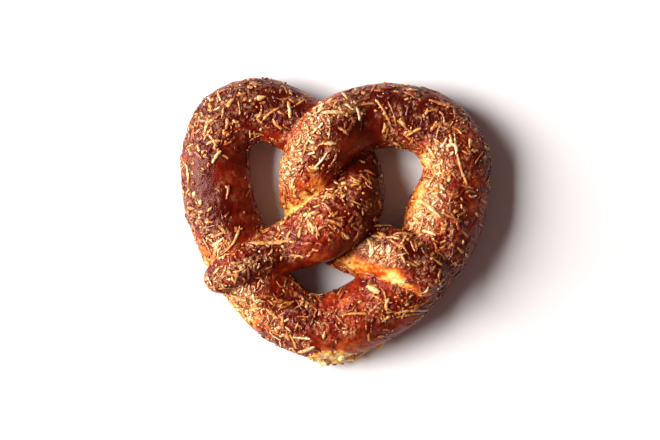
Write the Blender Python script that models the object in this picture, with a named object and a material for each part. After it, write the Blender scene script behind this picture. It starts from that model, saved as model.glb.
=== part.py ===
"""A soft pretzel: one rope of dough, rolled thinner towards its ends, tied in the pretzel twist and baked.

Metres, +Z up, with the origin under the middle of the pretzel on the tray that it rests on. The two round
shoulders of the heart point to +Y, and the thick bottom curve to -Y.
"""

import math

import bmesh
import bpy
from mathutils import Vector

MM = 0.001

# The rope's stations from its left tip to its right tip, in millimetres: x and y of the strand's middle,
# the height of its underside above the tray, and its width. A strand that crosses another is lifted onto it.
ROUTE = (
    # The left arm starts on the loop's left foot, hangs over the gap and crosses over the right arm.
    (-56, -26.8, 17, 15.5),
    (-47.5, -21.5, 18, 18.5),
    (-24, -12, 8, 25),
    (-5, -3, 13, 30.5),
    (8, 9, 7, 30.5),
    (9.5, 21, 2, 27.5),
    # It dips under the right arm and swells into the left half of the loop.
    (3, 33.5, 0, 27),
    (-17, 47, 0, 30),
    (-36, 54.5, 0, 31),
    (-51.5, 49, 0, 32.5),
    (-58, 34.5, 0, 33),
    (-56.5, 9.5, 0, 34.5),
    (-49, -11, 0, 34),
    (-38.5, -30, 0, 32.5),
    (-25.5, -43.5, 0, 31.5),
    (-8.5, -51, 0, 31.5),
    (11, -46, 0, 33.5),
    (27.5, -36, 0, 35),
    (42.5, -22, 0, 32),
    (50, -7.5, 0, 37),
    (54.2, 5.5, 0, 37.5),
    (58.5, 20.5, 0, 33.5),
    (58.3, 31.5, 0, 33.3),
    (47.8, 46.3, 0, 31.8),
    (30, 51.5, 0, 31.5),
    (10.5, 49.5, 2, 31.5),
    # The right arm crosses over the left one, goes under it, and ends on the loop's right foot.
    (-4, 40.5, 11, 31),
    (-12.5, 25, 8, 29),
    (-13.5, 9.5, 0, 25.5),
    (-2, -6, 0, 27),
    (14.5, -13.5, 3, 28),
    (31, -17.5, 11, 27.5),
    (42, -23.5, 14, 24.5),
)

# Crumb that burst through the crust low on the bottom curve, in the same terms.
BURST = (
    (-19, -59, 3, 5),
    (-12, -62.5, 2.5, 7.5),
    (-4.5, -65, 2.5, 9.5),
    (3, -64.8, 2.5, 8.5),
    (12, -61, 3, 6),
    (24, -55, 4, 5),
)

HEIGHT_PER_WIDTH = 0.82  # a risen strand sags to an oval under its own weight
SETTLE = 0.10  # share of its half height by which a strand's underside is pressed flat on the tray
STEPS_PER_STATION = 12  # points of the smooth line from one station to the next
RING_SPACING = 4.8 * MM
RING_SIDES = 20
DOME_RINGS = 4  # rings that round off each tip
TRAY_CUT_DEPTH = 20 * MM

CRUST_COLOUR = (0.20, 0.048, 0.014, 1.0)  # deep chestnut brown, linear
CRUST_ROUGHNESS = 0.38


def between_stations(before, start, end, after, share):
    """A point of the smooth curve through start and end, which leaves out no station and makes no loops."""
    knots = [0.0]
    for near, far in ((before, start), (start, end), (end, after)):
        knots.append(knots[-1] + math.sqrt((far.xy - near.xy).length))
    at = knots[1] + (knots[2] - knots[1]) * share

    def blend(a, b, low, high):
        return a * ((high - at) / (high - low)) + b * ((at - low) / (high - low))

    first = blend(before, start, knots[0], knots[1])
    middle = blend(start, end, knots[1], knots[2])
    last = blend(end, after, knots[2], knots[3])
    left = blend(first, middle, knots[0], knots[2])
    right = blend(middle, last, knots[1], knots[3])
    return blend(left, right, knots[1], knots[2])


def smooth_line(route):
    """Points close together along a route: x, y, height of the underside and width, in metres."""
    stations = [Vector(station) * MM for station in route]
    stations.insert(0, stations[0] * 2 - stations[1])
    stations.append(stations[-1] * 2 - stations[-2])
    line = [
        between_stations(*stations[i : i + 4], step / STEPS_PER_STATION)
        for i in range(len(stations) - 3)
        for step in range(STEPS_PER_STATION)
    ]
    return line + [stations[-2]]


def evenly_spaced(line, spacing):
    """The line's points, about one spacing apart, both ends kept."""
    lengths = [0.0]
    for near, far in zip(line, line[1:]):
        lengths.append(lengths[-1] + (far.xy - near.xy).length)
    count = round(lengths[-1] / spacing)
    points = []
    i = 0
    for n in range(count + 1):
        target = lengths[-1] * n / count
        while i < len(line) - 2 and lengths[i + 1] < target:
            i += 1
        share = (target - lengths[i]) / (lengths[i + 1] - lengths[i])
        points.append(line[i].lerp(line[i + 1], share))
    return points


def middle_of(point):
    """The middle of the strand's section at a point of the line."""
    half_height = point.w / 2 * HEIGHT_PER_WIDTH
    return Vector((point.x, point.y, max(point.z, 0.0) + half_height * (1 - SETTLE)))


def add_ring(mesh, middle, along, half_width):
    """One oval section of the strand, square to its run, and upright."""
    half_height = half_width * HEIGHT_PER_WIDTH
    aside = Vector((along.y, -along.x, 0)).normalized()
    up = aside.cross(along).normalized()
    ring = []
    for side in range(RING_SIDES):
        angle = math.tau * side / RING_SIDES
        ring.append(
            mesh.verts.new(
                middle
                + aside * (math.cos(angle) * half_width)
                + up * (math.sin(angle) * half_height)
            )
        )
    return ring


def join_rings(mesh, ring, following):
    for side in range(RING_SIDES):
        after = (side + 1) % RING_SIDES
        mesh.faces.new((ring[side], ring[after], following[after], following[side]))


def tip_rings(mesh, middle, outward, along, half_width):
    """Ever smaller rings that round off a tip, and the vertex at its pole."""
    rings = []
    for n in range(1, DOME_RINGS + 1):
        turn = math.radians(90) * n / (DOME_RINGS + 1)
        place = middle + outward * (half_width * math.sin(turn))
        rings.append(add_ring(mesh, place, along, half_width * math.cos(turn)))
    return rings, mesh.verts.new(middle + outward * half_width)


def close_tip(mesh, ring, pole, at_start):
    for side in range(RING_SIDES):
        after = (side + 1) % RING_SIDES
        corners = (ring[after], ring[side], pole)
        mesh.faces.new(corners if at_start else corners[::-1])


def add_strand(mesh, route):
    """A strand as one closed skin, rounded off at both tips, which may run through itself."""
    points = evenly_spaced(smooth_line(route), RING_SPACING)
    middles = [middle_of(point) for point in points]
    last = len(points) - 1
    alongs = [
        (middles[min(i + 1, last)] - middles[max(i - 1, 0)]).normalized() for i in range(last + 1)
    ]
    rings = [
        add_ring(mesh, middle, along, point.w / 2)
        for point, middle, along in zip(points, middles, alongs)
    ]
    first_dome, first_pole = tip_rings(mesh, middles[0], -alongs[0], alongs[0], points[0].w / 2)
    last_dome, last_pole = tip_rings(mesh, middles[-1], alongs[-1], alongs[-1], points[-1].w / 2)
    rings = first_dome[::-1] + rings + last_dome
    for ring, following in zip(rings, rings[1:]):
        join_rings(mesh, ring, following)
    close_tip(mesh, rings[0], first_pole, at_start=True)
    close_tip(mesh, rings[-1], last_pole, at_start=False)


def dough_mesh():
    """The rope and the burst crumb as closed skins that run through each other where they meet."""
    mesh = bmesh.new()
    add_strand(mesh, ROUTE)
    add_strand(mesh, BURST)
    bmesh.ops.triangulate(mesh, faces=mesh.faces)
    bmesh.ops.recalc_face_normals(mesh, faces=mesh.faces)
    data = bpy.data.meshes.new("pretzel")
    mesh.to_mesh(data)
    mesh.free()
    return data


def tray_cutter():
    """A block that ends at the tray's surface, and takes off what the dough presses flat there."""
    mesh = bmesh.new()
    bmesh.ops.create_cube(mesh, size=1)
    reach = 4 * max(abs(station[0]) for station in ROUTE) * MM
    bmesh.ops.scale(mesh, vec=(reach, reach, TRAY_CUT_DEPTH), verts=mesh.verts)
    bmesh.ops.translate(mesh, vec=(0, 0, -TRAY_CUT_DEPTH / 2), verts=mesh.verts)
    data = bpy.data.meshes.new("tray_cutter")
    mesh.to_mesh(data)
    mesh.free()
    cutter = bpy.data.objects.new("tray_cutter", data)
    cutter.hide_render = True
    cutter.display_type = "WIRE"
    bpy.context.scene.collection.objects.link(cutter)
    return cutter


def baked_crust():
    material = bpy.data.materials.new("baked_crust")
    material.use_nodes = True
    shader = material.node_tree.nodes["Principled BSDF"]
    shader.inputs["Base Color"].default_value = CRUST_COLOUR
    shader.inputs["Roughness"].default_value = CRUST_ROUGHNESS
    shader.inputs["Metallic"].default_value = 0.0
    material.diffuse_color = CRUST_COLOUR
    return material


def pretzel():
    """The rope fused to itself at its crossings, and flat where it rests."""
    data = dough_mesh()
    data.shade_smooth()
    data.materials.append(baked_crust())
    dough = bpy.data.objects.new("pretzel", data)
    bpy.context.scene.collection.objects.link(dough)
    press = dough.modifiers.new("fuse_and_press_flat", "BOOLEAN")
    press.operation = "DIFFERENCE"
    press.solver = "EXACT"
    press.use_self = True
    press.object = tray_cutter()
    dough.modifiers.new("triangulate", "TRIANGULATE")
    return dough


for old in list(bpy.data.objects):
    bpy.data.objects.remove(old)
pretzel()
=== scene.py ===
import math

import bpy
import numpy as np
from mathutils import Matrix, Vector
from mathutils.bvhtree import BVHTree
from mathutils.kdtree import KDTree


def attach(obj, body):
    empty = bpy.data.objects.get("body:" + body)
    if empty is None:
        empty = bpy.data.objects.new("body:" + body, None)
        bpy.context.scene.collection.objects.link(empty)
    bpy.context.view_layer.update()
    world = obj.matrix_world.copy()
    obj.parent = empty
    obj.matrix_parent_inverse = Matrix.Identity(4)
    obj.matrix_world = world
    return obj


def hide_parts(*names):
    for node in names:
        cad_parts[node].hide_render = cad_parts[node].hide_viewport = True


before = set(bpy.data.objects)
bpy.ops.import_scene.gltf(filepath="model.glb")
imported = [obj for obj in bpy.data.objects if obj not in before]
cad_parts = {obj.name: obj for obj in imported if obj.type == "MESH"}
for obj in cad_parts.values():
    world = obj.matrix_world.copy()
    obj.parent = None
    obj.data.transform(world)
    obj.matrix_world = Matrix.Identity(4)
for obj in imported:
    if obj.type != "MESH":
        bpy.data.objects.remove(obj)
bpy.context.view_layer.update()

# ---- The rope of dough ----------------------------------------------------------------------------------
# A hand-rolled rope of wheat dough, thinner towards its ends and tied in the pretzel twist. It sags to an
# oval, lies flat on the tray, sinks into itself where strands cross, and has burst low on the bottom curve.

MM = 0.001

# Stations from the left tip to the right tip, as in the part: x, y, height of the underside, width (mm).
ROUTE = (
    (-56, -26.8, 17, 15.5),
    (-47.5, -21.5, 18, 18.5),
    (-24, -12, 8, 25),
    (-5, -3, 13, 30.5),
    (8, 9, 7, 30.5),
    (9.5, 21, 2, 27.5),
    (3, 33.5, 0, 27),
    (-17, 47, 0, 30),
    (-36, 54.5, 0, 31),
    (-51.5, 49, 0, 32.5),
    (-58, 34.5, 0, 33),
    (-56.5, 9.5, 0, 34.5),
    (-49, -11, 0, 34),
    (-38.5, -30, 0, 32.5),
    (-25.5, -43.5, 0, 31.5),
    (-8.5, -51, 0, 31.5),
    (11, -46, 0, 33.5),
    (27.5, -36, 0, 35),
    (42.5, -22, 0, 32),
    (50, -7.5, 0, 37),
    (54.2, 5.5, 0, 37.5),
    (58.5, 20.5, 0, 33.5),
    (58.3, 31.5, 0, 33.3),
    (47.8, 46.3, 0, 31.8),
    (30, 51.5, 0, 31.5),
    (10.5, 49.5, 2, 31.5),
    (-4, 40.5, 11, 31),
    (-12.5, 25, 8, 29),
    (-13.5, 9.5, 0, 25.5),
    (-2, -6, 0, 27),
    (14.5, -13.5, 3, 28),
    (31, -17.5, 11, 27.5),
    (42, -23.5, 14, 24.5),
)
BURST = (
    (-19, -59, 3, 5),
    (-12, -62.5, 2.5, 7.5),
    (-4.5, -65, 2.5, 9.5),
    (3, -64.8, 2.5, 8.5),
    (12, -61, 3, 6),
    (24, -55, 4, 5),
)
HEIGHT_PER_WIDTH = 0.82
SETTLE = 0.10
STEPS_PER_STATION = 16
DOME_STEPS = 8


def between_stations(before, start, end, after, share):
    """A point of the smooth curve through start and end."""
    knots = [0.0]
    for near, far in ((before, start), (start, end), (end, after)):
        knots.append(knots[-1] + np.linalg.norm((far - near)[:2]) ** 0.5)
    at = knots[1] + (knots[2] - knots[1]) * share

    def blend(a, b, low, high):
        return (a * (high - at) + b * (at - low)) / (high - low)

    left = blend(blend(before, start, knots[0], knots[1]), blend(start, end, knots[1], knots[2]), knots[0], knots[2])
    right = blend(blend(start, end, knots[1], knots[2]), blend(end, after, knots[2], knots[3]), knots[1], knots[3])
    return blend(left, right, knots[1], knots[2])


def strand_line(route):
    """Points along the middle of a strand with a domed tip at each end: x, y, z and half width, in metres."""
    stations = np.array(route, float) * MM
    stations = np.vstack((2 * stations[0] - stations[1], stations, 2 * stations[-1] - stations[-2]))
    line = [
        between_stations(*stations[i : i + 4], step / STEPS_PER_STATION)
        for i in range(len(stations) - 3)
        for step in range(STEPS_PER_STATION)
    ]
    line = np.array(line + [stations[-2]])
    half = line[:, 3] / 2
    middle = np.maximum(line[:, 2], 0) + half * HEIGHT_PER_WIDTH * (1 - SETTLE)
    line = np.column_stack((line[:, :2], middle, half))

    def dome(end, inner):
        outward = (end - inner)[:3] / np.linalg.norm((end - inner)[:3])
        turns = np.linspace(0, math.radians(88), DOME_STEPS + 1)[1:]
        return np.array(
            [(*(end[:3] + outward * end[3] * math.sin(turn)), end[3] * math.cos(turn)) for turn in turns]
        )

    return np.vstack((dome(line[0], line[1])[::-1], line, dome(line[-1], line[-2])))


def strand_curve(name, *lines):
    """A curve object with one spline for each strand, whose radius is the strand's half width."""
    curve = bpy.data.curves.new(name, "CURVE")
    curve.dimensions = "3D"
    for line in lines:
        spline = curve.splines.new("POLY")
        spline.points.add(len(line) - 1)
        spline.points.foreach_set("co", np.column_stack((line[:, :3], np.ones(len(line)))).ravel())
        spline.points.foreach_set("radius", line[:, 3])
    made = bpy.data.objects.new(name, curve)
    bpy.context.scene.collection.objects.link(made)
    return made


def modelling_tree(name, **sizes):
    """An empty Geometry Nodes tree with a geometry in and out, and one named input for each size."""
    tree = bpy.data.node_groups.new(name, "GeometryNodeTree")
    tree.interface.new_socket("Geometry", in_out="INPUT", socket_type="NodeSocketGeometry")
    tree.interface.new_socket("Geometry", in_out="OUTPUT", socket_type="NodeSocketGeometry")
    for label, size in sizes.items():
        kind = {int: "NodeSocketInt", float: "NodeSocketFloat"}.get(type(size))
        if kind is None:
            kind = "NodeSocketObject" if isinstance(size, bpy.types.Object) else "NodeSocketMaterial"
        tree.interface.new_socket(label, in_out="INPUT", socket_type=kind)
    return tree, tree.nodes.new("NodeGroupInput").outputs, tree.nodes.new("NodeGroupOutput").inputs


def add(tree, kind, inputs=None, stops=None, **settings):
    """A new node with its settings, its colour stops, and its inputs set or linked from other nodes."""
    made = tree.nodes.new(kind)
    for name, value in settings.items():
        setattr(made, name, value)
    for socket, value in (inputs or {}).items():
        if isinstance(value, bpy.types.Node):
            value = value.outputs[0]
        if isinstance(value, bpy.types.NodeSocket):
            tree.links.new(value, made.inputs[socket])
        else:
            made.inputs[socket].default_value = value
    for index, (place, colour) in enumerate(stops or ()):
        ramp = made.color_ramp.elements
        stop = ramp[index] if index < len(ramp) else ramp.new(place)
        stop.position, stop.color = place, colour
    return made


def grown(name, source, tree, sizes, *others):
    """The plain mesh that the source becomes under the tree, and under any other modifiers after it."""
    modifier = source.modifiers.new(tree.name, "NODES")
    modifier.node_group = tree
    for item in tree.interface.items_tree:
        if item.in_out == "INPUT" and item.name in sizes:
            modifier[item.identifier] = sizes[item.name]
    for kind, settings in others:
        extra = source.modifiers.new(kind, kind)
        for setting, value in settings.items():
            setattr(extra, setting, value)
    evaluated = source.evaluated_get(bpy.context.evaluated_depsgraph_get())
    mesh = bpy.data.meshes.new_from_object(evaluated)
    mesh.name = name
    source.modifiers.clear()
    made = bpy.data.objects.new(name, mesh)
    bpy.context.scene.collection.objects.link(made)
    return made


sizes = {
    "Sides": 72,
    "Height per Width": HEIGHT_PER_WIDTH,
    "Lump Spacing": 17 * MM,
    "Lump Height": 1.3 * MM,
}
tree, given, result = modelling_tree("rolled_dough", **sizes)
upright = add(tree, "GeometryNodeSetCurveNormal", {"Curve": given["Geometry"]}, mode="Z_UP")
section = add(tree, "GeometryNodeCurvePrimitiveCircle", {"Resolution": given["Sides"], "Radius": 1.0})
oval = add(
    tree,
    "GeometryNodeTransform",
    {
        "Geometry": section,
        "Scale": add(tree, "ShaderNodeCombineXYZ", {"X": 1.0, "Y": given["Height per Width"], "Z": 1.0}),
    },
)
strand = add(
    tree,
    "GeometryNodeCurveToMesh",
    {"Curve": upright, "Profile Curve": oval, "Scale": add(tree, "GeometryNodeInputRadius"), "Fill Caps": True},
)
swell = add(
    tree,
    "ShaderNodeTexNoise",
    {"Scale": add(tree, "ShaderNodeMath", {0: 1.0, 1: given["Lump Spacing"]}, operation="DIVIDE"), "Detail": 1.0},
)
centred = add(tree, "ShaderNodeMath", {0: swell, 1: 0.5}, operation="SUBTRACT")
height = add(tree, "ShaderNodeMath", {0: centred, 1: given["Lump Height"]}, operation="MULTIPLY")
lumps = add(tree, "ShaderNodeVectorMath", {0: add(tree, "GeometryNodeInputNormal"), "Scale": height}, operation="SCALE")
lumpy = add(tree, "GeometryNodeSetPosition", {"Geometry": strand, "Offset": lumps})
place = add(tree, "ShaderNodeSeparateXYZ", {0: add(tree, "GeometryNodeInputPosition")})
on_tray = add(tree, "ShaderNodeMath", {0: place.outputs["Z"], 1: 0.0}, operation="MAXIMUM")
pressed = add(tree, "ShaderNodeCombineXYZ", {"X": place.outputs["X"], "Y": place.outputs["Y"], "Z": on_tray})
flat = add(tree, "GeometryNodeSetPosition", {"Geometry": lumpy, "Position": pressed})
tree.links.new(flat.outputs[0], result["Geometry"])

rope_line = strand_line(ROUTE)
burst_line = strand_line(BURST)
rope = strand_curve("rope_line", rope_line, burst_line)
FUSED_GRAIN = 0.82 * MM
crust = grown("crust", rope, tree, sizes, ("REMESH", {"mode": "VOXEL", "voxel_size": FUSED_GRAIN}))
bpy.data.objects.remove(rope)

# ---- The baked crust ------------------------------------------------------------------------------------
# The rope's skin, dipped in lye and baked glossy chestnut brown. It stayed golden where the dough stretched
# after the dip, at the creases of the twist, and it is open to the cream crumb where it burst. Cheese that
# melted on its upper side is baked into it as a fine tan lace.

# Stretches that stayed pale, and two lamp-facing flanks painted pale as painted light: from and to (mm along the rope,
# mm to the right of its middle), reach, how pale.
STRETCHED_AND_LIT = (
    (500, -6, 514, 12, 8.5, 0.85),
    (284, 13, 322, 14, 9, 0.15),
    (545, 8, 564, 9, 5.5, 0.62),
    (552, 2, 560, 4, 7, 0.3),
    (566, 10, 578, 11, 3, 0.7),
    (366, 6, 412, 8, 9, 0.2),
    # Painted light: this run and the next paint the flanks that face the lamp paler; they are not stretched dough.
    (478, 8, 502, 11, 10, 0.4),
    (366, -9, 410, -11, 10, 0.35),
    (244, 9, 264, 9, 10, 0.3),
    (369, -13, 385, -12, 5.5, 1.0),
    (398, -15, 408, -14, 4.5, 1.1),
    (242, 12, 254, 14, 7, 0.9),
    (218, 16, 230, 13, 5, 0.7),
    (506, 8, 514, 11, 5, 0.85),
    (484, 9, 500, 12, 4, 0.5),
    (328, 2, 338, 10, 4, 0.3),
)
# Stretches that browned the most, in the same terms: the crowns and the twist, nearest the oven's roof.
SCORCHED = (
    (138, 4, 165, 8, 12, 0.5),
    (420, 4, 455, 6, 12, 0.45),
    (72, 4, 96, 4, 9, 0.3),
    (24, 2, 44, 2, 8, 0.25),
    (184, 0, 216, 3, 10, 0.2),
    (462, 4, 484, 6, 8, 0.4),
    (352, 0, 368, 4, 9, 0.3),
    (252, -4, 280, -4, 7, 0.25),
    (560, -4, 576, -2, 8, 0.3),
    (378, 2, 395, 3, 8, 0.2),
    (170, 8, 208, 11, 8, 0.25),
)
# Stretches where the melted cheese lies thick, in the same terms.
CRUSTED = (
    (468, 7, 494, 10, 8, 0.8),
    (366, -9, 408, -8, 8, 0.85),
    (546, -3, 562, 1, 8, 0.8),
    (226, 5, 252, 9, 9, 0.8),
    (204, 8, 214, 10, 7, 0.5),
    (0, 0, 18, 2, 7, 0.6),
    (158, 9, 192, 13, 7, 0.5),
    (20, -8, 44, -8, 6, 0.5),
    (52, -11, 70, -11, 7, 0.5),
    (254, 5, 280, 9, 7, 0.55),
)
# Stretches where little or none of it lies, in the same terms: reach, and how bare.
BARE = (
    (88, -2, 106, 3, 9, 1.0),
    (28, 11, 58, 14, 6, 1.0),
    (278, 9, 318, 13, 6, 0.7),
    (456, -10, 474, -12, 8, 1.0),
    (188, -2, 200, 5, 6, 1.0),
    (501, -6, 514, 12, 6.5, 1.0),
    (550, 6, 566, 9, 5, 1.0),
    (175, -11, 222, -8, 8, 0.8),
    (184, 11, 192, 11, 5, 0.8),
    (318, 13, 330, 15, 5, 0.6),
    (363, 18, 388, 10, 7, 0.6),
    (72, 15, 92, 7, 6, 0.6),
    (456, -2, 462, 2, 7, 0.6),
    (140, 4, 166, 9, 10, 0.35),
)


def smooth_step(low, high, values):
    share = np.clip((values - low) / (high - low), 0, 1)
    return share * share * (3 - 2 * share)


def on_the_rope(points, line):
    """For each point: mm along the line from its first station, mm to its right, distance in half widths."""
    middle, half = line[DOME_STEPS:-DOME_STEPS, :3], line[DOME_STEPS:-DOME_STEPS, 3]
    along = np.concatenate(([0], np.cumsum(np.linalg.norm(np.diff(middle[:, :2], axis=0), axis=1))))
    run = np.gradient(middle[:, :2], axis=0)
    run /= np.linalg.norm(run, axis=1)[:, None]
    oval = np.array((1, 1, 1 / HEIGHT_PER_WIDTH))
    found = np.empty((len(points), 3))
    for start in range(0, len(points), 4000):
        some = points[start : start + 4000]
        away = np.linalg.norm((some[:, None] - middle[None]) * oval, axis=2) / half
        nearest = away.argmin(axis=1)
        offset = some[:, :2] - middle[nearest, :2]
        right = offset[:, 0] * run[nearest, 1] - offset[:, 1] * run[nearest, 0]
        found[start : start + 4000] = np.column_stack((along[nearest] / MM, right / MM, away.min(axis=1)))
    return found


def from_a_run(place, from_along, from_right, to_along, to_right, reach):
    """How far each place on the rope is from a straight run on it, in reaches."""
    run = np.array((to_along - from_along, to_right - from_right), float)
    offset = place[:, :2] - (from_along, from_right)
    share = np.clip(offset @ run / (run @ run), 0, 1)
    return np.linalg.norm(offset - share[:, None] * run, axis=1) / reach


def keep(mesh, name, values):
    mesh.attributes.new(name, "FLOAT", "POINT").data.foreach_set("value", values)


points = np.empty(3 * len(crust.data.vertices))
normals = np.empty(3 * len(crust.data.vertices))
crust.data.vertices.foreach_get("co", points)
crust.data.vertex_normals.foreach_get("vector", normals)
points, normals = points.reshape(-1, 3), normals.reshape(-1, 3)
place = on_the_rope(points, rope_line)
paleness = np.zeros(len(points))
# The runs include two lamp-facing flanks painted paler as painted light.
for *patch, pale in STRETCHED_AND_LIT:
    paleness = np.maximum(paleness, pale * (1 - smooth_step(0.2, 1.5, from_a_run(place, *patch))))
for *patch, dark in SCORCHED:
    paleness -= dark * (1 - smooth_step(0.2, 1.5, from_a_run(place, *patch)))
# Steep and downward-facing skin: painted shade colours it a little darker in the crust material, and it is duller
# there.
side = 1 - smooth_step(-0.2, 0.4, normals[:, 2])
flat_burst = on_the_rope(points * (1, 1, 0), burst_line * (1, 1, 0, 1))
tear_top = (13 + 10 * (1 - smooth_step(5, 15, abs(flat_burst[:, 0] - 18)))) * MM
torn = (1 - smooth_step(0.7, 1.4, flat_burst[:, 2])) * (1 - smooth_step(-5 * MM, 0, points[:, 2] - tear_top))
tattered = torn * (1 - smooth_step(11 * MM, 17 * MM, points[:, 2]))
topping = smooth_step(-0.15, 0.5, normals[:, 2]) * (1 - torn)
for *patch, bare in BARE:
    topping *= 1 - bare * (1 - smooth_step(0.4, 1.2, from_a_run(place, *patch)))
crusted = np.zeros(len(points))
for *patch, thick in CRUSTED:
    crusted = np.maximum(crusted, thick * (1 - smooth_step(0.2, 1.4, from_a_run(place, *patch))))
topping *= 0.8 + 0.7 * crusted
for name, values in (
    ("paleness", paleness),
    ("side", side),
    ("torn", torn),
    ("tattered", tattered),
    ("crusted", crusted),
    ("topping", topping),
):
    keep(crust.data, name, values)


def linear(hex_colour):
    """A colour of the sRGB hex code, in the renderer's linear values."""
    parts = [int(hex_colour[i : i + 2], 16) / 255 for i in (0, 2, 4)]
    return (*(p / 12.92 if p <= 0.04045 else ((p + 0.055) / 1.055) ** 2.4 for p in parts), 1.0)


# Lye-dipped and baked: the browned skin is hard, smooth and a little waxy, so it shines like varnished wood.
# The melted cheese on it is a crust of fused grains, each tan on top and burnt where it meets the next.
MELTED_LUMP = 2.0 * MM
baked_crust = bpy.data.materials.new("lye_baked_crust")
baked_crust.use_nodes = True
tree = baked_crust.node_tree
shader = tree.nodes["Principled BSDF"]
here = add(tree, "ShaderNodeTexCoord").outputs["Object"]
patches = add(tree, "ShaderNodeTexNoise", {"Vector": here, "Scale": 1 / (16 * MM), "Detail": 3.0})
mottle = add(tree, "ShaderNodeTexNoise", {"Vector": here, "Scale": 1 / (3.5 * MM), "Detail": 5.0, "Roughness": 0.6})
lumps = add(tree, "ShaderNodeTexNoise", {"Vector": here, "Scale": 1 / MELTED_LUMP, "Detail": 2.0})
drifts = add(tree, "ShaderNodeTexNoise", {"Vector": here, "Scale": 1 / (8 * MM), "Detail": 2.0})
pale = add(tree, "ShaderNodeAttribute", attribute_name="paleness").outputs["Fac"]
topped = add(tree, "ShaderNodeAttribute", attribute_name="topping").outputs["Fac"]
open_crumb = add(tree, "ShaderNodeAttribute", attribute_name="torn").outputs["Fac"]

uneven = add(tree, "ShaderNodeMath", {0: lumps, 1: 1.4, 2: 0.3}, operation="MULTIPLY_ADD")
pale = add(tree, "ShaderNodeMath", {0: pale, 1: uneven}, operation="MULTIPLY")
patchy = add(tree, "ShaderNodeMath", {0: patches, 1: 0.8, 2: -0.16}, operation="MULTIPLY_ADD")
mottled = add(tree, "ShaderNodeMath", {0: mottle, 1: 0.45, 2: patchy}, operation="MULTIPLY_ADD")
shaded_sides = add(tree, "ShaderNodeAttribute", attribute_name="side").outputs["Fac"]
# Painted shade: the steep and downward-facing sides are coloured a little darker.
browned = add(tree, "ShaderNodeMath", {0: shaded_sides, 1: -0.05, 2: mottled}, operation="MULTIPLY_ADD")
browned = add(tree, "ShaderNodeMath", {0: open_crumb, 1: 0.4, 2: browned}, operation="MULTIPLY_ADD")
fried_and_shaded = add(tree, "ShaderNodeAttribute", attribute_name="fried_and_shaded").outputs["Fac"]
# Painted shade in part: the skin is darker round each shred, where the shred shades it and its fat fried it.
browned = add(tree, "ShaderNodeMath", {0: fried_and_shaded, 1: -0.1, 2: browned}, operation="MULTIPLY_ADD")
lighter = add(tree, "ShaderNodeMath", {0: pale, 1: 0.55, 2: browned}, operation="MULTIPLY_ADD")
skin_colour = add(
    tree,
    "ShaderNodeValToRGB",
    {0: lighter},
    stops=(
        (0.22, linear("460C04")),
        (0.38, linear("681407")),
        (0.52, linear("8A260C")),
        (0.68, linear("BC5216")),
        (0.84, linear("E8A244")),
        (1.0, linear("F8CC86")),
    ),
)

stir = add(tree, "ShaderNodeTexNoise", {"Vector": here, "Scale": 1 / (4 * MM), "Detail": 1.5})
stirred = add(
    tree,
    "ShaderNodeVectorMath",
    {0: stir.outputs["Color"], 1: (9 * MM, 9 * MM, 9 * MM), 2: here},
    operation="MULTIPLY_ADD",
)
grains = add(tree, "ShaderNodeTexVoronoi", {"Vector": stirred, "Scale": 1 / (2.8 * MM)})
seams = add(tree, "ShaderNodeTexVoronoi", {"Vector": stirred, "Scale": 1 / (2.8 * MM)}, feature="DISTANCE_TO_EDGE")
chance = add(tree, "ShaderNodeSeparateColor", {0: grains.outputs["Color"]})
domed = add(tree, "ShaderNodeMapRange", {0: seams, 1: 0.0, 2: 0.2}, interpolation_type="SMOOTHSTEP")
grain_tone = add(tree, "ShaderNodeMath", {0: chance.outputs[0], 1: 0.45}, operation="MULTIPLY")
grain_tone = add(tree, "ShaderNodeMath", {0: domed, 1: 0.55, 2: grain_tone}, operation="MULTIPLY_ADD")
grain_colour = add(
    tree,
    "ShaderNodeValToRGB",
    {0: grain_tone},
    stops=(
        (0.1, linear("5A2010")),
        (0.28, linear("9C5430")),
        (0.5, linear("C4845A")),
        (0.75, linear("DEA474")),
        (1.0, linear("F2C69A")),
    ),
)
drifted = add(tree, "ShaderNodeMapRange", {0: drifts, 1: 0.44, 2: 0.64}, interpolation_type="SMOOTHSTEP")
lumped = add(tree, "ShaderNodeMapRange", {0: lumps, 1: 0.4, 2: 0.58}, interpolation_type="SMOOTHSTEP")
melted = add(tree, "ShaderNodeMath", {0: drifted, 1: lumped}, operation="MULTIPLY")
melted = add(tree, "ShaderNodeMath", {0: melted, 1: topped}, operation="MULTIPLY")
melted = add(tree, "ShaderNodeMath", {0: melted, 1: 0.6}, operation="MULTIPLY")
thickly = add(tree, "ShaderNodeAttribute", attribute_name="crusted").outputs["Fac"]
thickly = add(tree, "ShaderNodeMath", {0: lumps, 1: 1.1, 2: thickly}, operation="MULTIPLY_ADD")
thickly = add(tree, "ShaderNodeMapRange", {0: thickly, 1: 0.95, 2: 1.4}, interpolation_type="SMOOTHSTEP")
melted = add(tree, "ShaderNodeMath", {0: melted, 1: thickly}, operation="MAXIMUM")
laced = add(
    tree, "ShaderNodeMix", {"Factor": melted, 6: skin_colour, 7: grain_colour}, data_type="RGBA", clamp_factor=True
)

crumb_colour = add(
    tree,
    "ShaderNodeValToRGB",
    {0: add(tree, "ShaderNodeMath", {0: lumps, 1: 0.5, 2: mottle}, operation="MULTIPLY_ADD")},
    stops=(
        (0.46, linear("B8702C")),
        (0.62, linear("EC9E38")),
        (0.8, linear("F8C678")),
        (0.97, linear("FAE2C0")),
    ),
)
ragged = add(tree, "ShaderNodeMath", {0: lumps, 1: 1.0, 2: open_crumb}, operation="MULTIPLY_ADD")
opened = add(tree, "ShaderNodeMapRange", {0: ragged, 1: 0.85, 2: 1.05}, interpolation_type="SMOOTHSTEP")
colour = add(
    tree, "ShaderNodeMix", {"Factor": opened, 6: laced.outputs[2], 7: crumb_colour}, data_type="RGBA"
)
tree.links.new(colour.outputs[2], shader.inputs["Base Color"])

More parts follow.
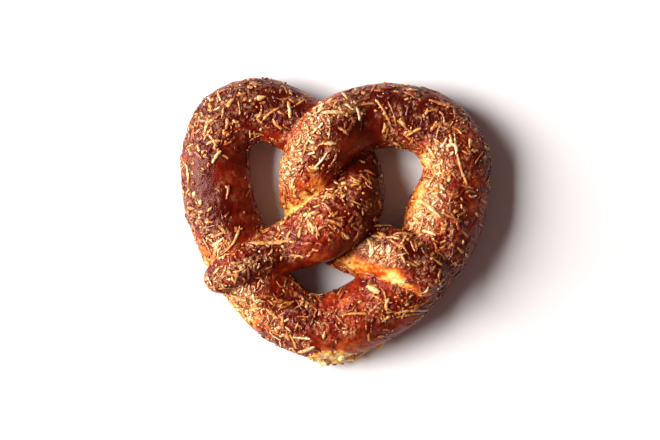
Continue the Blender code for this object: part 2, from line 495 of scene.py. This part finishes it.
pores = add(tree, "ShaderNodeTexNoise", {"Vector": here, "Scale": 1 / (0.9 * MM), "Detail": 4.0, "Roughness": 0.6})
fused = add(tree, "ShaderNodeMath", {0: domed, 1: melted}, operation="MULTIPLY")
blisters = add(tree, "ShaderNodeBump", {"Height": mottle, "Distance": 1.2 * MM, "Strength": 0.6})
wrinkled = add(tree, "ShaderNodeMath", {0: lumps, 1: topped}, operation="MULTIPLY")
wrinkles = add(tree, "ShaderNodeBump", {"Height": wrinkled, "Distance": 1.2 * MM, "Strength": 0.8, "Normal": blisters})
rough = add(tree, "ShaderNodeBump", {"Height": pores, "Distance": 0.15 * MM, "Strength": 0.25, "Normal": wrinkles})
beaded = add(tree, "ShaderNodeBump", {"Height": fused, "Distance": 0.6 * MM, "Strength": 0.9, "Normal": rough})
tree.links.new(beaded.outputs[0], shader.inputs["Normal"])
gloss = add(tree, "ShaderNodeMapRange", {0: mottle, 1: 0.3, 2: 0.7, 3: 0.15, 4: 0.33})
gloss = add(tree, "ShaderNodeMath", {0: shaded_sides, 1: 0.3, 2: gloss}, operation="MULTIPLY_ADD")
tree.links.new(gloss.outputs[0], shader.inputs["Roughness"])
shader.inputs["IOR"].default_value = 1.42
shader.inputs["Specular IOR Level"].default_value = 0.38
shader.inputs["Specular Tint"].default_value = linear("FFC8BC")
shader.inputs["Subsurface Weight"].default_value = 0.06
shader.inputs["Subsurface Radius"].default_value = (1.0, 0.35, 0.12)
shader.inputs["Subsurface Scale"].default_value = 1.5 * MM

sizes = {
    "Blister Spacing": 4.5 * MM,
    "Blister Height": 0.7 * MM,
    "Melt Spacing": MELTED_LUMP,
    "Melt Height": 1.1 * MM,
    "Crumb Spacing": 2.2 * MM,
    "Crumb Height": 3.2 * MM,
    "Skin": baked_crust,
}
tree, given, result = modelling_tree("baked_relief", **sizes)
out = given["Geometry"]
for label, share_of in (("Blister", None), ("Melt", "topping"), ("Crumb", "torn")):
    per_metre = add(tree, "ShaderNodeMath", {0: 1.0, 1: given[label + " Spacing"]}, operation="DIVIDE")
    fine = add(tree, "ShaderNodeTexNoise", {"Scale": per_metre, "Detail": 2.0})
    centred = add(tree, "ShaderNodeMath", {0: fine, 1: 0.5}, operation="SUBTRACT")
    rise = add(tree, "ShaderNodeMath", {0: centred, 1: given[label + " Height"]}, operation="MULTIPLY")
    if share_of:
        share = add(tree, "GeometryNodeInputNamedAttribute", {"Name": share_of}, data_type="FLOAT")
        rise = add(tree, "ShaderNodeMath", {0: rise, 1: share}, operation="MULTIPLY")
    outward = add(tree, "GeometryNodeInputNormal")
    step = add(tree, "ShaderNodeVectorMath", {0: outward, "Scale": rise}, operation="SCALE")
    out = add(tree, "GeometryNodeSetPosition", {"Geometry": out, "Offset": step}).outputs[0]
place = add(tree, "ShaderNodeSeparateXYZ", {0: add(tree, "GeometryNodeInputPosition")})
on_tray = add(tree, "ShaderNodeMath", {0: place.outputs["Z"], 1: 0.0}, operation="MAXIMUM")
pressed = add(tree, "ShaderNodeCombineXYZ", {"X": place.outputs["X"], "Y": place.outputs["Y"], "Z": on_tray})
out = add(tree, "GeometryNodeSetPosition", {"Geometry": out, "Position": pressed})
out = add(tree, "GeometryNodeSetShadeSmooth", {"Geometry": out})
out = add(tree, "GeometryNodeSetMaterial", {"Geometry": out, "Material": given["Skin"]})
tree.links.new(out.outputs[0], result["Geometry"])
fused = crust
crust = grown("crust_skin", fused, tree, sizes)
bpy.data.objects.remove(fused)
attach(crust, "root")
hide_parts("pretzel")

# ---- The grated cheese ----------------------------------------------------------------------------------
# Coarsely grated hard cheese, strewn on the glazed dough before baking. Most shreds melted down into the
# skin and toasted brown; some lie free on top with their ends curled up.

# Toasted hard cheese: dry and brittle with a slight shine of fat; it is tan on top and darker towards the skin, partly
# caramel brown there and partly painted shade.
toasted_cheese = bpy.data.materials.new("toasted_grated_cheese")
toasted_cheese.use_nodes = True
tree = toasted_cheese.node_tree
shader = tree.nodes["Principled BSDF"]
here = add(tree, "ShaderNodeTexCoord").outputs["Object"]
tone = add(tree, "ShaderNodeAttribute", attribute_name="tone").outputs["Fac"]
rise = add(tree, "ShaderNodeAttribute", attribute_name="rise").outputs["Fac"]
scorch = add(tree, "ShaderNodeTexNoise", {"Vector": here, "Scale": 1 / (1.2 * MM), "Detail": 4.0})
toast = add(tree, "ShaderNodeMath", {0: scorch, 1: 1.0, 2: -0.55}, operation="MULTIPLY_ADD")
toast = add(tree, "ShaderNodeMath", {0: tone, 1: 0.8, 2: toast}, operation="MULTIPLY_ADD")
# Painted shade in part: each shred darkens towards the skin it lies on, where it also caramelised.
clear = add(tree, "ShaderNodeMapRange", {0: rise, 1: 0.0, 2: 0.7 * MM, 3: -0.34, 4: 0.06})
toast = add(tree, "ShaderNodeMath", {0: toast, 1: clear}, operation="ADD")
thick = add(tree, "ShaderNodeAttribute", attribute_name="crusted").outputs["Fac"]
toast = add(tree, "ShaderNodeMath", {0: thick, 1: 0.35, 2: toast}, operation="MULTIPLY_ADD")
colour = add(
    tree,
    "ShaderNodeValToRGB",
    {0: toast},
    stops=(
        (0.0, linear("521008")),
        (0.22, linear("8A3614")),
        (0.45, linear("B0652C")),
        (0.66, linear("D09450")),
        (0.82, linear("E6B87E")),
        (1.0, linear("F6DAB2")),
    ),
)
tree.links.new(colour.outputs[0], shader.inputs["Base Color"])
grain = add(tree, "ShaderNodeTexNoise", {"Vector": here, "Scale": 1 / (0.5 * MM), "Detail": 3.0})
bump = add(tree, "ShaderNodeBump", {"Height": grain, "Distance": 0.25 * MM, "Strength": 0.8})
tree.links.new(bump.outputs[0], shader.inputs["Normal"])
shader.inputs["Roughness"].default_value = 0.15
shader.inputs["IOR"].default_value = 1.5
shader.inputs["Subsurface Weight"].default_value = 0.1
shader.inputs["Subsurface Radius"].default_value = (1.0, 0.5, 0.22)
shader.inputs["Subsurface Scale"].default_value = 0.8 * MM


# The longest shreds, from end to end: x, y, x, y, how far they bow to their left, thickness (mm), how pale,
# and how far they stand clear of the skin instead of following it.
LONG_SHREDS = (
    (-46, -2, -55, -16, 1.8, 1.5, 0.9, 1),
    (-41, -10, -23, -9, -0.6, 2.0, 0.8, 0.6),
    (-5, 1, 3, -2, 0.5, 1.6, 0.8, 0),
    (-6, 52, 4, 52, 0.2, 2.1, 1.0, 0),
    (-6, 37, 0, 37, 0.3, 2.1, 1.0, 0),
    (-11, 25, -4, 33, -0.4, 1.3, 1.2, 0.8),
    (-72, 28, -71, 18, 0.4, 1.7, 0.9, 0),
    (-59, 28, -55, 34, 0.5, 2.4, 0.9, 0),
    (-22, -54, -19, -61, 0.4, 1.7, 0.8, 0),
    (-18, -63, -10, -60, -0.3, 2.0, 0.9, 0),
    (28, -44, 45, -43, 0.9, 1.4, 0.9, 1),
    (29, -46, 41, -44, 0.3, 1.1, 0.8, 0.5),
    (3, -45, 15, -44, 0.6, 1.4, 0.8, 0.5),
    (18, -2, 27, -2, 0.2, 1.6, 1.1, 0.6),
    (15, -31, 21, -34, 0.2, 2.9, 0.9, 0),
    (57, 43, 63, 18, -1.2, 1.6, 0.8, 0),
    (19, 59, 27, 45, 0.8, 1.6, 0.7, 0.3),
    (25, 58, 29, 47, 0.5, 1.3, 0.6, 0),
    (45, 59, 59, 55, -0.6, 1.7, 0.7, 0),
    (34, 41, 41, 45, 0.4, 1.8, 0.8, 0),
    (39, 11, 50, 2, 0.8, 2.1, 0.9, 0),
    (-38, 59, -34, 60, 0.1, 2.1, 1.0, 0),
    (-35, 49, -27, 55, 0.5, 1.6, 0.8, 0.3),
    (-52, 55, -49, 59, 0.3, 2.4, 0.8, 0),
    (-22, -16, -15, -17, 0.4, 1.5, 0.8, 0),
    (-23, 58, -22, 50, 0.3, 2.2, 0.9, 0),
    (-61, 42, -57, 36, 0.4, 1.6, 0.8, 0),
    (-64, -8, -60, -16, 0.4, 1.5, 0.8, 0),
    (45, -17, 51, -21, 0.3, 1.5, 0.8, 0),
    (-2, 12, 4, 17, 0.4, 1.5, 0.9, 0),
)
skin = BVHTree.FromPolygons(
    [v.co for v in crust.data.vertices], [tuple(p.vertices) for p in crust.data.polygons]
)
corners, edges, marks = [], [], []
for x, y, far_x, far_y, bow, thick, pale, clear in LONG_SHREDS:
    start, end = Vector((x, y)) * MM, Vector((far_x, far_y)) * MM
    across = Vector((start.y - end.y, end.x - start.x)).normalized()
    steps = max(5, round((end - start).length / (1.2 * MM)))
    for step in range(steps + 1):
        share = step / steps
        flat = start.lerp(end, share) + across * bow * MM * 4 * share * (1 - share)
        touch = skin.ray_cast(Vector((*flat, 1)), Vector((0, 0, -1)))[0]
        corners.append((*flat, touch.z if touch else corners[-1][2]))
        marks.append((thick * MM, pale, clear))
        if step:
            edges.append((len(corners) - 2, len(corners) - 1))
    # A stiff shred bridges the hollows under it, from one high place to the next.
    skin_height = [corner[2] for corner in corners[-steps - 1 :]]
    bridged = [
        max(
            skin_height[near] + (skin_height[far] - skin_height[near]) * (step - near) / max(1, far - near)
            for near in range(step + 1)
            for far in range(step, steps + 1)
        )
        for step in range(steps + 1)
    ]
    corners[-steps - 1 :] = [
        (x, y, z + clear * (level - z)) for (x, y, z), level in zip(corners[-steps - 1 :], bridged)
    ]
paths = bpy.data.meshes.new("long_shreds")
paths.from_pydata(corners, edges, [])
for label, values in zip(("thick", "tone", "clear"), zip(*marks)):
    keep(paths, label, values)
long_shreds = bpy.data.objects.new("long_shreds", paths)
bpy.context.scene.collection.objects.link(long_shreds)


def shred_tree(name, sizes):
    """Shreds strewn by the topping's density, draped over the skin, swept to a flat section and roughened."""
    tree, given, result = modelling_tree(name, **sizes)
    thick_of = add(tree, "GeometryNodeInputNamedAttribute", {"Name": "topping"}, data_type="FLOAT")
    drifts = add(tree, "ShaderNodeTexNoise", {"Scale": 1 / (9 * MM), "Detail": 1.0, "Distortion": 0.3})
    drifted = add(tree, "ShaderNodeMapRange", {0: drifts, 1: 0.38, 2: 0.6, 3: given["Thinnest Drift"], 4: 1.0})
    thick_of = add(tree, "ShaderNodeMath", {0: thick_of, 1: drifted}, operation="MULTIPLY")
    density = add(tree, "ShaderNodeMath", {0: given["Shreds per Square Metre"], 1: thick_of}, operation="MULTIPLY")
    strewn = add(
        tree,
        "GeometryNodeDistributePointsOnFaces",
        {"Mesh": given["Geometry"], "Density": density, "Seed": given["Seed"]},
        distribute_method="RANDOM",
    )
    bows = add(tree, "GeometryNodeJoinGeometry")
    for bow in (-0.3, -0.12, 0.0, 0.03, 0.1, 0.22):
        arc = add(
            tree,
            "GeometryNodeCurveQuadraticBezier",
            {"Resolution": 5, "Start": (-0.5, 0, 0), "Middle": (0.1, bow, 0), "End": (0.5, 0, 0)},
        )
        tree.links.new(add(tree, "GeometryNodeGeometryToInstance", {0: arc}).outputs[0], bows.inputs[0])
    spin = add(
        tree,
        "FunctionNodeRandomValue",
        {"Min": (0, 0, 0), "Max": (0, 0, math.tau), "Seed": 3},
        data_type="FLOAT_VECTOR",
    )
    turned = add(
        tree,
        "FunctionNodeRotateRotation",
        {"Rotation": strewn.outputs["Rotation"], "Rotate By": add(tree, "FunctionNodeEulerToRotation", {0: spin})},
        rotation_space="LOCAL",
    )
    share = add(tree, "FunctionNodeRandomValue", {2: 0.0, 3: 1.0, "Seed": 4}, data_type="FLOAT")
    mostly_short = add(tree, "ShaderNodeMath", {0: share.outputs[1], 1: 2.0}, operation="POWER")
    length = add(tree, "ShaderNodeMapRange", {0: mostly_short, 3: given["Shortest"], 4: given["Longest"]})
    which = add(tree, "FunctionNodeRandomValue", {4: 0, 5: 5, "Seed": 5}, data_type="INT")
    laid = add(
        tree,
        "GeometryNodeInstanceOnPoints",
        {
            "Points": strewn.outputs["Points"],
            "Instance": bows,
            "Pick Instance": True,
            "Instance Index": which.outputs[2],
            "Rotation": turned,
            "Scale": length,
        },
    )
    out = laid
    for label, seed, least, most in (
        ("tone", 6, given["Brownest"], given["Palest"]),
        ("thick", 7, given["Thinnest"], given["Thickest"]),
        ("curl", 8, 0.0, 1.0),
    ):
        chance = add(tree, "FunctionNodeRandomValue", {2: least, 3: most, "Seed": seed}, data_type="FLOAT")
        out = add(
            tree,
            "GeometryNodeStoreNamedAttribute",
            {"Geometry": out, "Name": label, "Value": chance.outputs[1]},
            data_type="FLOAT",
            domain="INSTANCE",
        )
    out = add(tree, "GeometryNodeRealizeInstances", {0: out})
    if "Laid by Hand" in sizes:
        laid_by_hand = add(tree, "GeometryNodeObjectInfo", {"Object": given["Laid by Hand"]})
        laid_by_hand = add(tree, "GeometryNodeMeshToCurve", {0: laid_by_hand.outputs["Geometry"]})
        both = add(tree, "GeometryNodeJoinGeometry", {0: out})
        tree.links.new(laid_by_hand.outputs[0], both.inputs[0])
        out = both
    read = {
        label: add(tree, "GeometryNodeInputNamedAttribute", {"Name": label}, data_type="FLOAT")
        for label in ("thick", "curl", "clear")
    }
    here = add(tree, "GeometryNodeInputPosition")
    touch = add(tree, "GeometryNodeProximity", {0: given["Geometry"], "Sample Position": here}, target_element="FACES")
    out_of_skin = add(
        tree,
        "GeometryNodeSampleNearestSurface",
        {"Mesh": given["Geometry"], "Value": add(tree, "GeometryNodeInputNormal"), "Sample Position": here},
        data_type="FLOAT_VECTOR",
    )
    half = add(tree, "ShaderNodeMath", {0: read["thick"], 1: 0.5}, operation="MULTIPLY")
    based = add(
        tree,
        "ShaderNodeMix",
        {"Factor": read["clear"], 4: touch, 5: here},
        data_type="VECTOR",
    )
    from_middle = add(
        tree,
        "ShaderNodeMath",
        {0: add(tree, "GeometryNodeSplineParameter").outputs["Factor"], 1: 2.0, 2: -1.0},
        operation="MULTIPLY_ADD",
    )
    squared = add(tree, "ShaderNodeMath", {0: from_middle, 1: 2.0}, operation="POWER")
    curled = add(tree, "ShaderNodeMath", {0: read["curl"], 1: 5.0}, operation="POWER")
    end_lift = add(tree, "ShaderNodeMath", {0: squared, 1: curled}, operation="MULTIPLY")
    end_lift = add(tree, "ShaderNodeMath", {0: end_lift, 1: given["End Lift"]}, operation="MULTIPLY")
    lift = add(tree, "ShaderNodeMath", {0: half, 1: given["Proud"], 2: end_lift}, operation="MULTIPLY_ADD")
    off_skin = add(tree, "ShaderNodeVectorMath", {0: out_of_skin, "Scale": lift}, operation="SCALE")
    draped = add(tree, "ShaderNodeVectorMath", {0: based.outputs[1], 1: off_skin}, operation="ADD")
    length_now = add(tree, "GeometryNodeSplineLength")
    out = add(tree, "GeometryNodeCaptureAttribute", {0: out}, domain="CURVE")
    out.capture_items.new("FLOAT", "own length")
    tree.links.new(length_now.outputs["Length"], out.inputs[1])
    own_length = out.outputs[1]
    out = add(tree, "GeometryNodeCaptureAttribute", {0: out.outputs[0]}, domain="POINT")
    out.capture_items.new("VECTOR", "facing")
    tree.links.new(out_of_skin.outputs[0], out.inputs[1])
    facing = out.outputs[1]
    out = add(tree, "GeometryNodeSetPosition", {"Geometry": out.outputs[0], "Position": draped})
    stretch = add(tree, "ShaderNodeMath", {0: length_now.outputs["Length"], 1: own_length}, operation="DIVIDE")
    across_a_gap = add(tree, "FunctionNodeCompare", {0: stretch, 1: 1.5}, data_type="FLOAT", operation="GREATER_THAN")
    out = add(tree, "GeometryNodeDeleteGeometry", {"Geometry": out, "Selection": across_a_gap}, domain="CURVE")
    out = add(tree, "GeometryNodeSetCurveNormal", {"Curve": out, "Normal": facing}, mode="FREE")
    blunt = add(tree, "ShaderNodeMath", {0: squared, 1: 4.0}, operation="POWER")
    taper = add(tree, "ShaderNodeMath", {0: blunt, 1: -0.5, 2: 1.0}, operation="MULTIPLY_ADD")
    thins = add(tree, "ShaderNodeTexNoise", {"Scale": 1 / (2.2 * MM), "Detail": 1.0})
    uneven = add(tree, "ShaderNodeMapRange", {0: thins, 1: 0.3, 2: 0.7, 3: 0.6, 4: 1.35})
    taper = add(tree, "ShaderNodeMath", {0: taper, 1: uneven}, operation="MULTIPLY")
    radius = add(tree, "ShaderNodeMath", {0: half, 1: taper}, operation="MULTIPLY")
    section = add(tree, "GeometryNodeCurvePrimitiveCircle", {"Resolution": given["Sides"], "Radius": 1.0})
    oval = add(
        tree,
        "GeometryNodeTransform",
        {
            "Geometry": section,
            "Scale": add(tree, "ShaderNodeCombineXYZ", {"X": given["Flatness"], "Y": 1.0, "Z": 1.0}),
        },
    )
    out = add(
        tree,
        "GeometryNodeCurveToMesh",
        {"Curve": out, "Profile Curve": oval, "Scale": radius, "Fill Caps": True},
    )
    wobble = add(tree, "ShaderNodeTexNoise", {"Scale": 1 / (1.3 * MM), "Detail": 1.0})
    centred = add(tree, "ShaderNodeVectorMath", {0: wobble.outputs["Color"], 1: (0.5, 0.5, 0.5)}, operation="SUBTRACT")
    offset = add(tree, "ShaderNodeVectorMath", {0: centred, "Scale": given["Melt"]}, operation="SCALE")
    out = add(tree, "GeometryNodeSetPosition", {"Geometry": out, "Offset": offset})
    above = add(tree, "GeometryNodeProximity", {0: given["Geometry"]}, target_element="FACES")
    out = add(
        tree,
        "GeometryNodeStoreNamedAttribute",
        {"Geometry": out, "Name": "rise", "Value": above.outputs["Distance"]},
        data_type="FLOAT",
        domain="POINT",
    )
    out = add(tree, "GeometryNodeSetShadeSmooth", {"Geometry": out})
    out = add(tree, "GeometryNodeRealizeInstances", {0: out})
    out = add(tree, "GeometryNodeSetMaterial", {"Geometry": out, "Material": given["Cheese"]})
    tree.links.new(out.outputs[0], result["Geometry"])
    return tree


sunken = {
    "Shreds per Square Metre": 80000.0,
    "Thinnest Drift": 0.1,
    "Shortest": 2.2 * MM,
    "Longest": 7.5 * MM,
    "Thinnest": 1.0 * MM,
    "Thickest": 2.1 * MM,
    "Flatness": 0.5,
    "Proud": 0.15,
    "End Lift": 0.0,
    "Melt": 0.8 * MM,
    "Brownest": 0.1,
    "Palest": 0.95,
    "Sides": 6,
    "Seed": 11,
    "Cheese": toasted_cheese,
}
free = {
    "Shreds per Square Metre": 32000.0,
    "Thinnest Drift": 0.3,
    "Shortest": 3.0 * MM,
    "Longest": 8.5 * MM,
    "Thinnest": 0.9 * MM,
    "Thickest": 1.6 * MM,
    "Flatness": 0.6,
    "Proud": 0.25,
    "End Lift": 0.8 * MM,
    "Melt": 0.7 * MM,
    "Brownest": 0.45,
    "Palest": 1.05,
    "Laid by Hand": long_shreds,
    "Sides": 6,
    "Seed": 12,
    "Cheese": toasted_cheese,
}
shred_points = []
for name, sizes in (("sunken_shreds", sunken), ("free_shreds", free)):
    shreds = grown(name, crust, shred_tree(name, sizes), sizes)
    shred_points += [v.co for v in shreds.data.vertices]
    print(name, sum(len(p.vertices) - 2 for p in shreds.data.polygons), "triangles")
    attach(shreds, "root")
bpy.data.objects.remove(long_shreds)

# The skin round each shred is darker: partly fried by the fat that ran from the shred, partly painted shade where the
# shred shades it.
shred_finder = KDTree(len(shred_points))
for index, point_on_shred in enumerate(shred_points):
    shred_finder.insert(point_on_shred, index)
shred_finder.balance()
from_shreds = np.array([shred_finder.find(v.co)[2] for v in crust.data.vertices])
keep(crust.data, "fried_and_shaded", 1 - smooth_step(0.5 * MM, 1.8 * MM, from_shreds))

# ---- The cheese crumbs ----------------------------------------------------------------------------------
# Dust and broken bits from the grater, baked on as small pale beads between the shreds.

def bead_tree(name, where, sizes):
    """Irregular beads strewn over the skin by one of its attributes and roughened."""
    tree, given, result = modelling_tree(name, **sizes)
    thick_of = add(tree, "GeometryNodeInputNamedAttribute", {"Name": where}, data_type="FLOAT")
    drifts = add(tree, "ShaderNodeTexNoise", {"Scale": 1 / (7 * MM), "Detail": 1.0})
    drifted = add(tree, "ShaderNodeMapRange", {0: drifts, 1: 0.4, 2: 0.6, 3: given["Thinnest Drift"], 4: 1.0})
    thick_of = add(tree, "ShaderNodeMath", {0: thick_of, 1: drifted}, operation="MULTIPLY")
    density = add(tree, "ShaderNodeMath", {0: given["Beads per Square Metre"], 1: thick_of}, operation="MULTIPLY")
    strewn = add(
        tree,
        "GeometryNodeDistributePointsOnFaces",
        {"Mesh": given["Geometry"], "Density": density, "Seed": given["Seed"]},
        distribute_method="RANDOM",
    )
    bead = add(tree, "GeometryNodeMeshIcoSphere", {"Radius": 1.0, "Subdivisions": given["Fineness"]})
    share = add(tree, "FunctionNodeRandomValue", {2: 0.0, 3: 1.0, "Seed": 22}, data_type="FLOAT")
    mostly_small = add(tree, "ShaderNodeMath", {0: share.outputs[1], 1: 2.2}, operation="POWER")
    size = add(tree, "ShaderNodeMapRange", {0: mostly_small, 3: given["Smallest"], 4: given["Largest"]})
    shape = add(
        tree, "FunctionNodeRandomValue", {0: (0.7, 0.7, 0.6), 1: (1.7, 1.0, 1.0), "Seed": 23}, data_type="FLOAT_VECTOR"
    )
    scale = add(tree, "ShaderNodeVectorMath", {0: shape, "Scale": size}, operation="SCALE")
    spin = add(
        tree, "FunctionNodeRandomValue", {0: (0, 0, 0), 1: (0, 0, math.tau), "Seed": 24}, data_type="FLOAT_VECTOR"
    )
    turned = add(
        tree,
        "FunctionNodeRotateRotation",
        {"Rotation": strewn.outputs["Rotation"], "Rotate By": add(tree, "FunctionNodeEulerToRotation", {0: spin})},
        rotation_space="LOCAL",
    )
    out = add(
        tree,
        "GeometryNodeInstanceOnPoints",
        {"Points": strewn.outputs["Points"], "Instance": bead, "Rotation": turned, "Scale": scale},
    )
    chance = add(
        tree, "FunctionNodeRandomValue", {2: given["Brownest"], 3: given["Palest"], "Seed": 25}, data_type="FLOAT"
    )
    out = add(
        tree,
        "GeometryNodeStoreNamedAttribute",
        {"Geometry": out, "Name": "tone", "Value": chance.outputs[1]},
        data_type="FLOAT",
        domain="INSTANCE",
    )
    out = add(tree, "GeometryNodeRealizeInstances", {0: out})
    per_metre = add(tree, "ShaderNodeMath", {0: 1.0, 1: given["Wrinkle"]}, operation="DIVIDE")
    wobble = add(tree, "ShaderNodeTexNoise", {"Scale": per_metre, "Detail": 1.0})
    centred = add(tree, "ShaderNodeVectorMath", {0: wobble.outputs["Color"], 1: (0.5, 0.5, 0.5)}, operation="SUBTRACT")
    offset = add(tree, "ShaderNodeVectorMath", {0: centred, "Scale": given["Melt"]}, operation="SCALE")
    out = add(tree, "GeometryNodeSetPosition", {"Geometry": out, "Offset": offset})
    place = add(tree, "ShaderNodeSeparateXYZ", {0: add(tree, "GeometryNodeInputPosition")})
    on_tray = add(tree, "ShaderNodeMath", {0: place.outputs["Z"], 1: 0.0}, operation="MAXIMUM")
    pressed = add(tree, "ShaderNodeCombineXYZ", {"X": place.outputs["X"], "Y": place.outputs["Y"], "Z": on_tray})
    out = add(tree, "GeometryNodeSetPosition", {"Geometry": out, "Position": pressed})
    out = add(tree, "GeometryNodeSetShadeSmooth", {"Geometry": out})
    out = add(tree, "GeometryNodeSetMaterial", {"Geometry": out, "Material": given["Stuff"]})
    tree.links.new(out.outputs[0], result["Geometry"])
    return tree


sizes = {
    "Beads per Square Metre": 115000.0,
    "Thinnest Drift": 0.35,
    "Smallest": 0.32 * MM,
    "Largest": 1.05 * MM,
    "Fineness": 1,
    "Wrinkle": 0.8 * MM,
    "Melt": 0.7 * MM,
    "Brownest": 0.6,
    "Palest": 1.45,
    "Seed": 21,
    "Stuff": toasted_cheese,
}
crumbs = grown("cheese_crumbs", crust, bead_tree("strewn_crumbs", "topping", sizes), sizes)
print("crumbs triangles", sum(len(p.vertices) - 2 for p in crumbs.data.polygons))
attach(crumbs, "root")

# ---- The torn crumb -------------------------------------------------------------------------------------
# Where the bottom curve burst in the oven, soft crumb pushed out in ragged lumps and set golden.

# Bread crumb baked at its surface: dry and matt, cream inside and golden where it caught the heat.
torn_crumb = bpy.data.materials.new("golden_bread_crumb")
torn_crumb.use_nodes = True
tree = torn_crumb.node_tree
shader = tree.nodes["Principled BSDF"]
here = add(tree, "ShaderNodeTexCoord").outputs["Object"]
tone = add(tree, "ShaderNodeAttribute", attribute_name="tone").outputs["Fac"]
caught = add(tree, "ShaderNodeTexNoise", {"Vector": here, "Scale": 1 / (1.6 * MM), "Detail": 3.0})
golden = add(tree, "ShaderNodeMath", {0: tone, 1: 0.5, 2: caught}, operation="MULTIPLY_ADD")
colour = add(
    tree,
    "ShaderNodeValToRGB",
    {0: golden},
    stops=(
        (0.3, linear("C0702A")),
        (0.46, linear("E89C3E")),
        (0.64, linear("F6BE6C")),
        (0.86, linear("FCDEA8")),
    ),
)
tree.links.new(colour.outputs[0], shader.inputs["Base Color"])
open_pores = add(tree, "ShaderNodeTexNoise", {"Vector": here, "Scale": 1 / (0.6 * MM), "Detail": 3.0})
bump = add(tree, "ShaderNodeBump", {"Height": open_pores, "Distance": 0.5 * MM, "Strength": 0.9})
tree.links.new(bump.outputs[0], shader.inputs["Normal"])
shader.inputs["Roughness"].default_value = 0.6
shader.inputs["IOR"].default_value = 1.45
shader.inputs["Subsurface Weight"].default_value = 0.3
shader.inputs["Subsurface Radius"].default_value = (1.0, 0.6, 0.25)
shader.inputs["Subsurface Scale"].default_value = 2.0 * MM

sizes = {
    "Beads per Square Metre": 90000.0,
    "Thinnest Drift": 0.3,
    "Smallest": 0.9 * MM,
    "Largest": 2.6 * MM,
    "Fineness": 3,
    "Wrinkle": 1.3 * MM,
    "Melt": 2.0 * MM,
    "Brownest": 0.0,
    "Palest": 0.8,
    "Seed": 31,
    "Stuff": torn_crumb,
}
tatters = grown("torn_crumb", crust, bead_tree("torn_lumps", "tattered", sizes), sizes)
print("tatters triangles", sum(len(p.vertices) - 2 for p in tatters.data.polygons))
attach(tatters, "root")

# ---- The studio -----------------------------------------------------------------------------------------
# A white table, one large soft light high on the left, and a camera that looks straight down.

floor_mesh = bpy.data.meshes.new("table")
reach = 1.2
floor_mesh.from_pydata(
    [(-reach, -reach, 0), (reach, -reach, 0), (reach, reach, 0), (-reach, reach, 0)], [], [(0, 1, 2, 3)]
)
floor = bpy.data.objects.new("table", floor_mesh)
bpy.context.scene.collection.objects.link(floor)
white_paint = bpy.data.materials.new("matt_white_table")
white_paint.use_nodes = True
white_paint.node_tree.nodes["Principled BSDF"].inputs["Base Color"].default_value = linear("ECECEC")
white_paint.node_tree.nodes["Principled BSDF"].inputs["Roughness"].default_value = 0.9
floor_mesh.materials.append(white_paint)


def look_at(made, target):
    made.rotation_euler = (Vector(target) - made.location).to_track_quat("-Z", "Y").to_euler()


def softbox(name, place, size, watts, colour):
    light = bpy.data.lights.new(name, "AREA")
    light.shape = "RECTANGLE"
    light.size, light.size_y = size
    light.energy = watts
    light.color = linear(colour)[:3]
    made = bpy.data.objects.new(name, light)
    made.location = place
    look_at(made, (0, 0, 0.015))
    bpy.context.scene.collection.objects.link(made)


softbox("window_light", (-1.06, 0.13, 0.776), (0.95, 0.95), 52.5, "FFFDFC")
world = bpy.data.worlds.new("studio")
world.use_nodes = True
world.node_tree.nodes["Background"].inputs["Color"].default_value = linear("D8ACA4")
world.node_tree.nodes["Background"].inputs["Strength"].default_value = 0.19
bpy.context.scene.world = world
bpy.context.scene.view_settings.view_transform = "Standard"

camera = bpy.data.objects.new("camera", bpy.data.cameras.new("camera"))
camera.data.lens = 100
camera.data.sensor_width = 36
camera.location = (-0.00275, 0.0009, 0.905)
bpy.context.scene.collection.objects.link(camera)
bpy.context.scene.camera = camera
